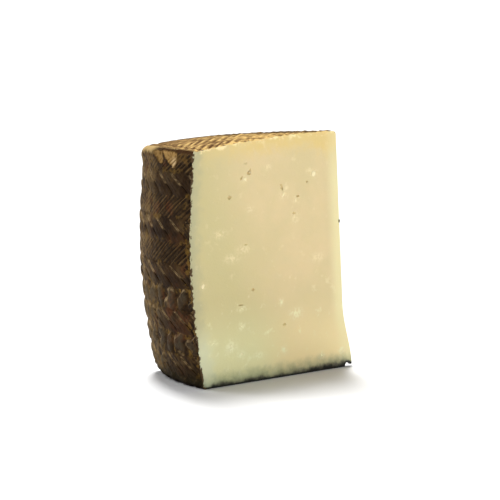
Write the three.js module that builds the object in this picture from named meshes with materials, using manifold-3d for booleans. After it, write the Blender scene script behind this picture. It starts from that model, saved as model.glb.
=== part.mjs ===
// A wedge of aged sheep's-milk cheese, cut by hand from a drum-shaped wheel of about three kilos.
// The wheel's side carries the herringbone of the plaited grass mould that it was pressed in, its domed
// top carries a finer print of the same plait, and it stands on its flat foot.
// Two knife cuts meet near the wheel's axis, and the cut paste shows a few small eyes.
//
// Millimetres, +Z up. The wheel is built round the Z axis with the wedge's middle along -X.
// Angles are measured from -X towards -Y, so the near cut is at a positive angle.
// At the end the wedge is moved so that its origin is under the middle of its bounding box.

import * as THREE from "three";
import { mergeVertices } from "three/addons/utils/BufferGeometryUtils.js";
import Module from "manifold-3d";

// The wheel
const WHEEL_HEIGHT = 111.2;
const BELLY_RADIUS = 94.5;
const TOP_RADIUS = 92.2;
const FOOT_RADIUS = 86.5;
const BELLY_AT = 0.58; // height of the widest ring, as a share of the wheel's height
const RIM_ROUND = 2.6; // radius of the edge between side and top
const FOOT_ROUND = 1.6; // radius of the edge between side and foot

// The dome of the top, which falls to the rim less on the near cut than on the far one
const NEAR_FALL = { drop: 4.6, power: 1.15 };
const FAR_FALL = { drop: 6.2, power: 2.3 };

// The two cuts
const WEDGE_ANGLE = THREE.MathUtils.degToRad(33.8);
const TIP_AT_TOP = -3.8; // the tip stops short of the axis at the top
const TIP_LEAN = 0.0575; // and moves outwards by this much for each millimetre down
const TIP_FLARE = 4.6; // with a flare at the foot, where the knife drifted
const TIP_FLARE_HEIGHT = 30;

// The plait on the side
const ROW_HEIGHT = 10.2;
const FIRST_ROW = 4; // height of the lowest line between two rows
const FIBRE_PITCH = 3.1; // measured round the wheel
const FIBRES_IN_RIBBON = 4;
const FIBRE_SLOPE = THREE.MathUtils.degToRad(35.4);
const FIBRE_DEPTH = 0.6;
const RIBBON_DEPTH = 0.8;
const ROW_LINE_DEPTH = 0.5;
const SCALLOP = 1.1; // how far a ribbon's rounded end reaches past the line between rows
const UNEVENNESS = 0.3; // share by which fibres differ

// The print on the top
const TOP_PRINT_SCALE = 0.45; // its depth beside the side's plait
const TOP_ROW_OFFSET = -3.4; // where the first row starts, measured from the near cut

// The eyes on each cut: distance from the axis, height and radius
const NEAR_EYES = [
  [60.9, 99.7, 0.7],
  [58.8, 95.1, 0.95],
  [37.3, 86.6, 1.1],
  [30.5, 74.2, 0.7],
  [70.4, 83.9, 0.8],
  [56.3, 41.3, 0.7],
  [36.7, 23.9, 0.8],
];
const FAR_EYE_COUNT = 7;
const EYE_SQUASH = 0.7; // width of an eye beside its height
const EYE_DEPTH = 0.6; // how deep an eye goes beside its radius

const UP = new THREE.Vector3(0, 0, 1);
const NEAR = new THREE.Vector3(-Math.cos(WEDGE_ANGLE / 2), -Math.sin(WEDGE_ANGLE / 2), 0);
const FAR = new THREE.Vector3(NEAR.x, -NEAR.y, 0);
const INWARD = new THREE.Vector3(NEAR.y, -NEAR.x, 0); // from the near cut into the cheese
const ROW_SHIFT = ROW_HEIGHT / Math.tan(FIBRE_SLOPE);
const COLUMN = FIBRE_PITCH / 2; // from a groove to the next ridge
const COLUMNS_IN_RIBBON = 2 * FIBRES_IN_RIBBON;
const ROW_STEPS = [0, 0.15, 0.5, 0.85]; // where a row of the plait is sampled
const LINE_STEP = 0.15; // the share of a row over which it rises from its line

const wasm = await Module();
wasm.setup();

// A repeatable number from 0 to 1 for each pair of whole numbers
function chance(a, b) {
  const x = Math.sin(a * 127.1 + b * 311.7) * 43758.5453;
  return x - Math.floor(x);
}

// A closed solid through rings of points, wound anticlockwise as seen from the last ring.
// flat turns a point into the plane of the caps.
function loft(rings, flat) {
  const count = rings[0].length;
  const index = [];
  for (let k = 0; k + 1 < rings.length; k++) {
    for (let i = 0; i < count; i++) {
      const j = (i + 1) % count;
      const [a, b, c, d] = [k * count + i, k * count + j, (k + 1) * count + j, (k + 1) * count + i];
      index.push(a, b, c, a, c, d);
    }
  }
  const lastStart = (rings.length - 1) * count;
  for (const [a, b, c] of THREE.ShapeUtils.triangulateShape(rings[0].map(flat), [])) index.push(a, c, b);
  for (const cap of THREE.ShapeUtils.triangulateShape(rings.at(-1).map(flat), [])) {
    index.push(...cap.map((i) => lastStart + i));
  }
  return new THREE.BufferGeometry().setFromPoints(rings.flat()).setIndex(index);
}

function toSolid(geometry) {
  const bare = geometry.clone();
  for (const name of ["normal", "uv"]) bare.deleteAttribute(name);
  const merged = mergeVertices(bare, 1e-4);
  return new wasm.Manifold(
    new wasm.Mesh({
      numProp: 3,
      vertProperties: merged.getAttribute("position").array,
      triVerts: new Uint32Array(merged.index.array),
    }),
  );
}

function toGeometry(solid) {
  const mesh = solid.getMesh();
  const geometry = new THREE.BufferGeometry();
  geometry.setAttribute("position", new THREE.Float32BufferAttribute(mesh.vertProperties, 3));
  geometry.setIndex(new THREE.BufferAttribute(mesh.triVerts, 1));
  return geometry;
}

// How much a quarter round of this radius takes off, at a distance into it
function roundOff(radius, distance) {
  const t = THREE.MathUtils.clamp(distance / radius, 0, 1);
  return radius * (1 - Math.sqrt(1 - t * t));
}

// The wheel's radius at a height, without the plait
function sideRadius(z) {
  const share = z / WHEEL_HEIGHT;
  const foot = Math.max(0, (BELLY_AT - share) / BELLY_AT) ** 1.7;
  const top = Math.max(0, (share - BELLY_AT) / (1 - BELLY_AT)) ** 1.5;
  const radius = BELLY_RADIUS - (BELLY_RADIUS - FOOT_RADIUS) * foot - (BELLY_RADIUS - TOP_RADIUS) * top;
  const rimTop = WHEEL_HEIGHT - (NEAR_FALL.drop + FAR_FALL.drop) / 2;
  return radius - roundOff(RIM_ROUND, z - rimTop + RIM_ROUND) - roundOff(FOOT_ROUND, FOOT_ROUND - z);
}

// The height of the domed top over a point, without the print
function topHeight(x, y) {
  const angle = Math.atan2(-y, -x);
  const t = THREE.MathUtils.clamp(angle / WEDGE_ANGLE + 0.5, 0, 1);
  const drop = THREE.MathUtils.lerp(FAR_FALL.drop, NEAR_FALL.drop, t);
  const power = THREE.MathUtils.lerp(FAR_FALL.power, NEAR_FALL.power, t);
  return WHEEL_HEIGHT - drop * (Math.hypot(x, y) / TOP_RADIUS) ** power;
}

// How far the plait lies below its highest point, for a column in a row, at a share of the row's width.
// Even columns are grooves and odd ones are ridges, and a ribbon is crowned across its fibres.
function plaitDepth(column, row, share) {
  const inRibbon = THREE.MathUtils.euclideanModulo(column, COLUMNS_IN_RIBBON) / COLUMNS_IN_RIBBON;
  const crown = Math.sin(Math.PI * inRibbon);
  const ridge = column % 2 === 0 ? 0 : 1 - UNEVENNESS * chance(column, row);
  const fromLine = Math.min(share, 1 - share) / LINE_STEP;
  const line = ROW_LINE_DEPTH * Math.max(0, 1 - fromLine);
  const depth = RIBBON_DEPTH + FIBRE_DEPTH - RIBBON_DEPTH * crown - FIBRE_DEPTH * ridge;
  return depth + line;
}

// Where a row's pattern has moved to at a share of its width: up one way and back the other
function plaitShift(row, share) {
  return ROW_SHIFT * (THREE.MathUtils.euclideanModulo(row, 2) === 1 ? share : 1 - share);
}

// How far the line between two rows is pushed up or down by the rounded end of a ribbon
function scallopAt(column, row) {
  const inRibbon = THREE.MathUtils.euclideanModulo(column, COLUMNS_IN_RIBBON) / COLUMNS_IN_RIBBON;
  const way = THREE.MathUtils.euclideanModulo(row, 2) === 1 ? 1 : -1;
  return way * SCALLOP * (Math.sin(Math.PI * inRibbon) - 0.5);
}

// The rows and shares of a row at which the plait is sampled, over a span
function plaitStations(from, to, firstRow) {
  const stations = [];
  for (let row = Math.floor((from - firstRow) / ROW_HEIGHT); firstRow + row * ROW_HEIGHT < to; row++) {
    for (const share of ROW_STEPS) stations.push({ row, share, at: firstRow + (row + share) * ROW_HEIGHT });
  }
  return stations;
}

// The columns that cover a span, whatever their shift
function plaitColumns(from, to) {
  const first = Math.floor((from - ROW_SHIFT) / COLUMN);
  const last = Math.ceil(to / COLUMN);
  return Array.from({ length: last - first + 1 }, (_, i) => first + i);
}

// The wheel's side, over more than the wedge, as tall as the plait's rows need
function wheelSide() {
  const halfSpan = (WEDGE_ANGLE / 2) * BELLY_RADIUS + ROW_HEIGHT;
  const columns = plaitColumns(-halfSpan, halfSpan);
  const behind = [new THREE.Vector2(40, -70), new THREE.Vector2(40, 70)];
  const ringAt = ({ row, share, at }) => {
    const scallop = share === 0;
    const ring = columns.map((column) => {
      const z = at + (scallop ? scallopAt(column, row) : 0);
      const angle = (column * COLUMN + plaitShift(row, share)) / BELLY_RADIUS;
      const radius = sideRadius(z) - plaitDepth(column, row, share);
      return new THREE.Vector3(-radius * Math.cos(angle), -radius * Math.sin(angle), z);
    });
    for (const corner of behind) ring.push(new THREE.Vector3(corner.x, corner.y, at));
    return ring;
  };
  const rings = plaitStations(-ROW_HEIGHT, WHEEL_HEIGHT + ROW_HEIGHT, FIRST_ROW).map(ringAt);
  return toSolid(loft(rings, (p) => new THREE.Vector2(p.x, p.y)));
}

// Everything between the flat foot and the printed top. The print's rows run along the near cut.
function wheelTop() {
  const columns = plaitColumns(-2 * ROW_HEIGHT, BELLY_RADIUS + ROW_HEIGHT);
  const width = 2 * BELLY_RADIUS * Math.sin(WEDGE_ANGLE / 2) + 2 * ROW_HEIGHT;
  const ringAt = ({ row, share, at }) => {
    const top = columns.map((column) => {
      const along = column * COLUMN + plaitShift(row, share);
      const point = NEAR.clone().multiplyScalar(along).addScaledVector(INWARD, at);
      point.z = topHeight(point.x, point.y) - TOP_PRINT_SCALE * plaitDepth(column, row, share);
      return point;
    });
    const foot = [top.at(0), top.at(-1)].map((point) => new THREE.Vector3(point.x, point.y, 0));
    return [...foot, ...top.reverse()];
  };
  const rings = plaitStations(-ROW_HEIGHT, width, TOP_ROW_OFFSET).map(ringAt);
  return toSolid(loft(rings, (p) => new THREE.Vector2(p.dot(NEAR), p.z)));
}

// How far the tip stands out past the wheel's axis at a height, along the near cut
function tipReach(z) {
  const flare = (1 + Math.cos(Math.PI * THREE.MathUtils.clamp(z / TIP_FLARE_HEIGHT, 0, 1))) / 2;
  return TIP_AT_TOP + TIP_LEAN * (WHEEL_HEIGHT - z) + TIP_FLARE * flare;
}

// The space between the two cuts: the near one is flat and the far one follows the tip
function betweenCuts() {
  const reach = 2 * BELLY_RADIUS;
  const margin = 10;
  const step = 5;
  const rings = [];
  for (let z = -margin; z <= WHEEL_HEIGHT + margin; z += step) {
    const tip = NEAR.clone().multiplyScalar(-tipReach(z)).addScaledVector(UP, z);
    rings.push([tip, tip.clone().addScaledVector(FAR, reach), tip.clone().addScaledVector(NEAR, reach)]);
  }
  return toSolid(loft(rings, (p) => new THREE.Vector2(p.x, p.y)));
}

// A small hollow in a cut, taller than it is wide
function eye(outward, away, height, radius) {
  const centre = outward.clone().multiplyScalar(away).addScaledVector(UP, height);
  const ball = new THREE.IcosahedronGeometry(radius, 1);
  ball.scale(EYE_SQUASH, EYE_DEPTH, 1);
  ball.rotateZ(Math.atan2(outward.y, outward.x));
  ball.translate(centre.x, centre.y, centre.z);
  return toSolid(ball);
}

function eyes() {
  const near = NEAR_EYES.map(([away, height, radius]) => eye(NEAR, away, height, radius));
  const far = Array.from({ length: FAR_EYE_COUNT }, (_, i) => {
    const height = WHEEL_HEIGHT * (0.12 + 0.74 * chance(i, 1));
    const away = BELLY_RADIUS * (0.2 + 0.6 * chance(i, 2));
    const offset = Math.sin(WEDGE_ANGLE) * tipReach(height);
    const ball = eye(FAR, away, height, 0.7 + 0.4 * chance(i, 3));
    return ball.translate([Math.sin(WEDGE_ANGLE / 2) * offset, Math.cos(WEDGE_ANGLE / 2) * offset, 0]);
  });
  return wasm.Manifold.union([...near, ...far]);
}

const SMALLEST_EDGE = 0.03;
const wedge = wheelSide().intersect(wheelTop()).intersect(betweenCuts()).subtract(eyes());
const geometry = toGeometry(wedge.simplify(SMALLEST_EDGE));
geometry.computeBoundingBox();
const middle = geometry.boundingBox.getCenter(new THREE.Vector3());
geometry.translate(-middle.x, -middle.y, -geometry.boundingBox.min.z);
geometry.computeVertexNormals();

const paste = new THREE.MeshStandardMaterial({
  color: "#ddcb9c",
  roughness: 0.62,
  metalness: 0,
  flatShading: true,
});
const cheese = new THREE.Mesh(geometry, paste);
cheese.name = "cheese_wedge";

const part = new THREE.Group();
part.add(cheese);

export default part;
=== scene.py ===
"""Dresses a wedge of aged sheep's-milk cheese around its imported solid.

The wedge is cut out of a wheel, as the real one is: the plaited side and the printed top are modelled as
parts of the wheel, and the two knife cuts, their eyes and the breaks under the tip are taken out of it.
Everything is modelled round the wheel's axis, in metres, with the wedge's middle along -X, and is moved
into the frame's place at the end. Round the wheel, degrees are counted from there towards the near cut.
"""

import math
from functools import cached_property

import bpy
import numpy as np
from bpy.props import FloatProperty, FloatVectorProperty, IntProperty, PointerProperty
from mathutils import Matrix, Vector


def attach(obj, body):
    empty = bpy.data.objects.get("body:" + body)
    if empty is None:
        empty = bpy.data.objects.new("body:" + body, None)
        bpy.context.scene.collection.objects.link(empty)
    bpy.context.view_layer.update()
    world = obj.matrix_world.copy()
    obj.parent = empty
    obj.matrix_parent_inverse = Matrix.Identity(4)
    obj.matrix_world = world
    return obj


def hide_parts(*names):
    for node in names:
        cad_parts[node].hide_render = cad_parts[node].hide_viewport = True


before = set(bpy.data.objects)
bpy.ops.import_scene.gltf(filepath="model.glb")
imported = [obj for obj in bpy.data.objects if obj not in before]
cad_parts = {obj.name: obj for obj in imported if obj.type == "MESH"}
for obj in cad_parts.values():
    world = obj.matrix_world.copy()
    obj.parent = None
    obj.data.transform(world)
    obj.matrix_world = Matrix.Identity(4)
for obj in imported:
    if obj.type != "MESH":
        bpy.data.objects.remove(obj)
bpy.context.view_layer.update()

bl_info = {
    "name": "Cheese Wedge",
    "version": (1, 0, 0),
    "blender": (4, 5, 0),
    "location": "View3D > Sidebar > Cheese",
    "description": "Cuts a wedge of plaited sheep's-milk cheese out of its wheel, on a plain stage",
    "category": "Object",
}

NODE = "cheese_wedge"
MM = 0.001


# Properties

def number(name, description, default):
    return FloatProperty(name=name, description=description, default=default)


def length(name, description, millimetres):
    default = millimetres * MM
    return FloatProperty(name=name, description=description, default=default, unit="LENGTH", precision=5)


def turn(name, description, degrees):
    default = math.radians(degrees)
    return FloatProperty(name=name, description=description, default=default, subtype="ANGLE")


def share_of(name, description, default):
    return FloatProperty(name=name, description=description, default=default, subtype="FACTOR")


def to_linear(value):
    part = value / 255
    return part / 12.92 if part <= 0.04045 else ((part + 0.055) / 1.055) ** 2.4


def colour(name, description, red, green, blue):
    default = (to_linear(red), to_linear(green), to_linear(blue), 1)
    return FloatVectorProperty(name=name, description=description, default=default, size=4, subtype="COLOR")


class WheelSizes(bpy.types.PropertyGroup):
    height: length("Height", "Height of the wheel on its axis", 111.1)
    belly_radius: length("Belly radius", "Radius of the widest ring", 94.8)
    top_radius: length("Top radius", "Radius under the rim", 92.5)
    foot_radius: length("Foot radius", "Radius at the foot", 86.8)
    belly_at: share_of("Belly at", "Height of the widest ring, as a share of the wheel's height", 0.58)
    near_rim_round: length("Near rim round", "Radius of the edge under the top, on the near cut", 1.0)
    far_rim_round: length("Far rim round", "The same radius on the far cut", 3.8)
    near_foot_round: length("Near foot round", "Radius of the edge over the foot, on the near cut", 1.6)
    far_foot_round: length("Far foot round", "The same radius on the far cut", 5.0)
    near_drop: length("Near drop", "How far the top falls to the rim on the near cut", 5.3)
    far_drop: length("Far drop", "How far the top falls to the rim on the far cut", 6.5)
    rim_rise: length("Rim rise", "How much less the top falls midway between the cuts", 0.8)
    near_power: number("Near power", "How late the near fall comes", 2.0)
    far_power: number("Far power", "How late the far fall comes", 2.75)


class CutSizes(bpy.types.PropertyGroup):
    angle: turn("Angle", "Angle between the two cuts", 33.8)
    tip_at_top: length("Tip at top", "How far the tip stands out past the axis at the top", -4.0)
    tip_lean: number("Tip lean", "How far the tip moves out on the way down", 0.0615)
    tip_flare: length("Tip flare", "How much further the tip stands out at its foot", 4.6)
    tip_flare_height: length("Flare height", "Height over which the tip flares", 30)
    tip_round: length("Tip round", "Radius of the rounded edge at the tip", 0.5)
    drift: length("Drift", "How far the knife drifted from a flat cut", 0.14)


class PlaitSizes(bpy.types.PropertyGroup):
    row_height: length("Row height", "Width of one row of the plait", 10.2)
    first_row: length("First row", "Height of the lowest line between two rows", 4)
    pitch: length("Fibre pitch", "Width of one fibre, measured along the row", 3.1)
    fibres: IntProperty(name="Fibres", description="Fibres in one ribbon", default=4)
    slope: turn("Slope", "Slope of the fibres", 35.4)
    fibre_depth: length("Fibre depth", "Height of a crest between two fibres", 0.85)
    ribbon_depth: length("Ribbon depth", "How far the edges of a ribbon lie under its middle", 0.6)
    line_depth: length("Line depth", "Depth of the line between two rows", 0.25)
    scallop: length("Scallop", "How far a ribbon's rounded end reaches past its row", 1.1)
    unevenness: share_of("Unevenness", "Share by which fibres differ", 0.5)
    top_row_height: length("Top row height", "Width of one row of the top's print", 13)
    top_pitch: length("Top pitch", "Width of one fibre of the top's print, along the row", 5.4)
    top_scale: share_of("Top scale", "Depth of the top's print beside the side's plait", 0.7)
    top_offset: length("Top offset", "Where the top's first row starts, from the near cut", -2)
    ring_depth: length("Ring depth", "Depth of the grooves that the mould's lid leaves by the rim", 0.4)


class PasteColours(bpy.types.PropertyGroup):
    body: colour("Body", "Most of the paste", 203, 191, 141)
    heart: colour("Heart", "The warmer middle", 222, 201, 155)
    near_rind: colour("Near rind", "The drier paste under the side's rind", 182, 177, 139)
    # Low and Low heart are greener and warmer paste, painted lighter than the paste is, as painted light
    # against the shade near the foot
    low: colour("Low", "The greener paste above the foot", 225, 221, 169)
    low_heart_and_light: colour("Low heart", "The warm paste above the foot by the tip", 233, 214, 161)
    low_rind: colour("Low rind", "The pale paste where rind and foot meet", 222, 226, 194)
    tip: colour("Tip", "The pale edge at the tip", 231, 220, 170)
    top: colour("Top", "The paste under the top", 224, 199, 134)
    chip: colour("Chip", "Bare crumbs along the top's edge", 244, 226, 172)
    fleck: colour("Fleck", "Pale crumbs and grains", 244, 228, 184)
    low_fleck: colour("Low fleck", "Pale crumbs and grains low down", 237, 235, 194)
    foot_shade: colour("Foot shade", "The moulded paste on the foot", 113, 129, 101)
    mould: colour("Mould", "Grey patches above the foot by the tip", 112, 106, 88)
    foot_line: colour("Foot line", "The dark line of the foot's rind", 14, 13, 7)
    skin: colour("Skin", "The thin line of rind along the cut", 74, 54, 28)
    # painted shade: this colour darkens the eyes' hollows
    eye: colour("Eye", "The shaded inside of the eyes", 200, 176, 124)


class RindColours(bpy.types.PropertyGroup):
    dark: colour("Dark", "The dressed rind in the fibres' troughs", 35, 20, 6)
    brown: colour("Brown", "The fibres that took less dressing", 57, 37, 14)
    # Worn is also laid on more towards the left, as painted light and sheen
    worn: colour("Worn", "Olive patches where the dressing has worn off", 120, 98, 62)
    # Crest paints highlights on the crests, and painted light on the left
    crest: colour("Crest", "The thin crests between fibres", 122, 96, 58)
    # Edge paints highlights on the ribbons' upper edges and on the pads' upper left edges over their pale
    # edges, and the scuffs
    edge: colour("Edge", "The light edges of ribbons and pads", 156, 132, 96)
    ochre: colour("Ochre", "Bare cheese in the creases between rows", 116, 88, 38)
    russet: colour("Russet", "Reddish stains", 84, 46, 22)
    crumb: colour("Crumb", "The crumb of rind on the tip's edge", 160, 156, 132)
    bloom: colour("Bloom", "The grey bloom", 70, 60, 44)
    # Pit also paints the shade in the troughs and between the pads, beside the dark nicks, streaks and foot
    pit_and_shade: colour("Pit", "The darkest pits of the plait", 26, 15, 5)
    foot: colour("Foot", "The moulded foot", 42, 36, 20)
    rim: colour("Rim", "The bare edge between side and top", 168, 142, 94)
    torn: colour("Torn", "Cheese where the skin is torn off", 160, 126, 74)
    # Torn, dark also paints the lip's shadow on the torn patch's top
    torn_dark: colour("Torn, dark", "Streaks in the torn patch", 102, 74, 32)
    torn_pale: colour("Torn, pale", "The freshest cheese in the torn patch", 204, 174, 128)
    lip: colour("Lip", "The dark lip under the rim", 56, 32, 4)
    bronze: colour("Bronze", "The top's rind by the rim", 124, 96, 56)
    gold: colour("Gold", "The top's rind", 144, 108, 56)
    gold_light: colour("Light gold", "The crests of the top's print", 188, 152, 94)
    # Dark gold also paints the shade in the top's grooves and strokes, beside its dark patches and nicks
    gold_dark: colour("Dark gold", "The grooves of the top's print", 70, 41, 10)
    # Pale also paints the highlights on the top's strands and rope
    pale: colour("Pale", "The thin rind near the tip", 202, 169, 104)


class StageSettings(bpy.types.PropertyGroup):
    azimuth: turn("Azimuth", "Where the camera stands, round from straight in front", -26.21)
    elevation: turn("Elevation", "How high the camera stands", 6.977)
    distance: length("Distance", "From the camera to its target", 1100)
    target: FloatVectorProperty(
        name="Target", description="The point in the middle of the picture",
        default=(0.00564, 0.01809, 0.05482), size=3, subtype="TRANSLATION", precision=5,
    )
    lens: number("Lens", "Focal length, in millimetres", 171.5)
    floor: colour("Floor", "The plain pale floor", 222, 222, 222)


# Places on the wheel

FOOT_CURVE = 1.7  # how late the side curves in on its way down from the widest ring
TOP_CURVE = 1.5  # and on its way up
TIP_CORNER_REACH = 3 * MM  # how far the worn corner reaches from the tip
TIP_CORNER_DROP = 1.8 * MM  # how far it has sunk at the tip itself


def wheel_sizes():
    return bpy.context.scene.cheese_wheel


def cut_sizes():
    return bpy.context.scene.cheese_cuts


def plait_sizes():
    return bpy.context.scene.cheese_plait


def half_angle():
    return cut_sizes().angle / 2


def upwards(height):
    return np.array([0, 0, height])


def near_way():
    """From the axis along the near cut."""
    return np.array([-math.cos(half_angle()), -math.sin(half_angle()), 0])


def far_way():
    """From the axis along the far cut."""
    return near_way() * (1, -1, 1)


def into_near():
    """From the near cut straight into the cheese."""
    near = near_way()
    return np.array([near[1], -near[0], 0])


def into_far():
    """From the far cut straight into the cheese."""
    return into_near() * (1, -1, 1)


def ramp(value, start, end):
    """0 before the start and 1 past the end, which may lie either way."""
    return np.clip((value - start) / (end - start), 0, 1)


def smooth(share):
    return share * share * (3 - 2 * share)


def blend(share, start, end):
    return start + (end - start) * share


def bell(distance, half):
    """1 at no distance, and nearly 0 from twice the given half width on."""
    return np.exp(-((distance / half) ** 2))


def round_off(radius, distance):
    """How much a quarter round of this radius takes off, at a distance into it."""
    t = np.clip(distance / radius, 0, 1)
    return radius * (1 - np.sqrt(1 - t * t))


def across_wedge(x, y):
    """Where a place lies between the cuts: 0 on the far one and 1 on the near one."""
    return np.clip(np.arctan2(-y, -x) / (2 * half_angle()) + 0.5, 0, 1)


def rim_drop(across):
    """How far the top falls to the rim."""
    wheel = wheel_sizes()
    return blend(across, wheel.far_drop, wheel.near_drop) - 4 * wheel.rim_rise * across * (1 - across)


def side_radius(z, across):
    """The wheel's radius at a height, without the plait."""
    wheel = wheel_sizes()
    share = z / wheel.height
    foot = np.maximum(0, (wheel.belly_at - share) / wheel.belly_at) ** FOOT_CURVE
    top = np.maximum(0, (share - wheel.belly_at) / (1 - wheel.belly_at)) ** TOP_CURVE
    radius = wheel.belly_radius - (wheel.belly_radius - wheel.foot_radius) * foot
    radius = radius - (wheel.belly_radius - wheel.top_radius) * top
    rim = wheel.height - rim_drop(across)
    rim_round = blend(across, wheel.far_rim_round, wheel.near_rim_round)
    foot_round = blend(across, wheel.far_foot_round, wheel.near_foot_round)
    return radius - round_off(rim_round, z - rim + rim_round) - round_off(foot_round, foot_round - z)


def top_height(x, y):
    """The height of the domed top over a point, without its print."""
    wheel = wheel_sizes()
    across = across_wedge(x, y)
    power = blend(across, wheel.far_power, wheel.near_power)
    return wheel.height - rim_drop(across) * (np.hypot(x, y) / wheel.top_radius) ** power


def tip_reach(z):
    """How far the tip stands out past the axis at a height, along the near cut."""
    cuts = cut_sizes()
    flare = (1 + np.cos(math.pi * np.clip(z / cuts.tip_flare_height, 0, 1))) / 2
    return cuts.tip_at_top + cuts.tip_lean * (wheel_sizes().height - z) + cuts.tip_flare * flare


def tip_corner(points):
    """How far the worn corner at the tip lies under the top."""
    from_corner = points + near_way() * tip_reach(wheel_sizes().height)
    share = np.hypot(from_corner[:, 0], from_corner[:, 1]) / TIP_CORNER_REACH
    return TIP_CORNER_DROP * np.clip(1 - share, 0, 1) ** 2


# Chance

def chance(a, b):
    """A repeatable number from 0 to 1 for each pair of whole numbers."""
    x = np.sin(a * 127.1 + b * 311.7) * 43758.5453
    return x - np.floor(x)


def patches(x, y, seed):
    """Smooth patches from 0 to 1, about one unit across."""
    left, low = np.floor(x), np.floor(y)
    across, up = smooth(x - left), smooth(y - low)
    corner = [[chance(left + i, low + j + 57 * seed) for j in (0, 1)] for i in (0, 1)]
    return blend(up, *(blend(across, corner[0][j], corner[1][j]) for j in (0, 1)))


def bend(x, y, size, seed):
    """Smooth patches of a given size, around 0."""
    return patches(x / size[0], y / size[1], seed) - 0.5


def bumps(x, y, broad, fine, fine_share, seed):
    """Broad patches with finer ones on them, around 0. The finer ones take the next seed."""
    return bend(x, y, broad, seed) + fine_share * bend(x, y, fine, seed + 1)


# The print

STEPS_ACROSS_FIBRE = 8
LINE_WIDTH = 0.12  # half the width of the line between two rows, as a share of a row
END_SHARE = 0.3  # the share of a row over which a ribbon rounds off at each end
END_DEPTH = 0.5  # how far it rounds off there, as a share of the ribbon's depth
CROWN_POWER = 2.4  # how square a ribbon's section is
CREST_POWER = 1.3  # how thin the crests between fibres are
EDGE_FIBRES = 0.35  # depth of the fibres at a ribbon's edges, beside those in its middle
FALLING_FIBRES = 0.25  # depth of the fibres in the falling rows, beside those in the rising rows
FALLING_BEND = 1.2  # how much the falling rows' fibres bend on their way down
OVERLAP = 0.35 * MM  # how far a ribbon's lifted edge stands over the next ribbon
SUNK_SHARE = 0.4  # how far a ribbon may lie under its neighbours, as a share of its own depth
WORN_PATCH = 15 * MM
WORN_SHARE = 0.8  # how much of the fibres' depth is lost where they are most worn
FADED_DEPTH = 0.45 * MM  # how far the faded fibres' middle height lies under their crests
LUMP_SIZE = 8 * MM
LUMP_DEPTH = 0.4 * MM
WANDER = 1.1 * MM  # how far a fibre strays from its straight line
WANDER_BROAD = (3, 1 / 1.6)  # the sizes of its broad bends, in fibres along the row and in rows
WANDER_FINE = (1.1, 1 / 3.1)  # and of its fine ones
WANDER_FINE_SHARE = 1 / 3  # how far the fine ones stray, beside the broad ones
STAGGER = 0.5  # how far the top's fibres are set off from one row to the next, in fibres
FIRST_ROW = -1  # where both prints start, so that they reach past the wheel
TOP_ROWS_START = 40  # keeps the top's rows apart from the side's in the UV map


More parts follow.
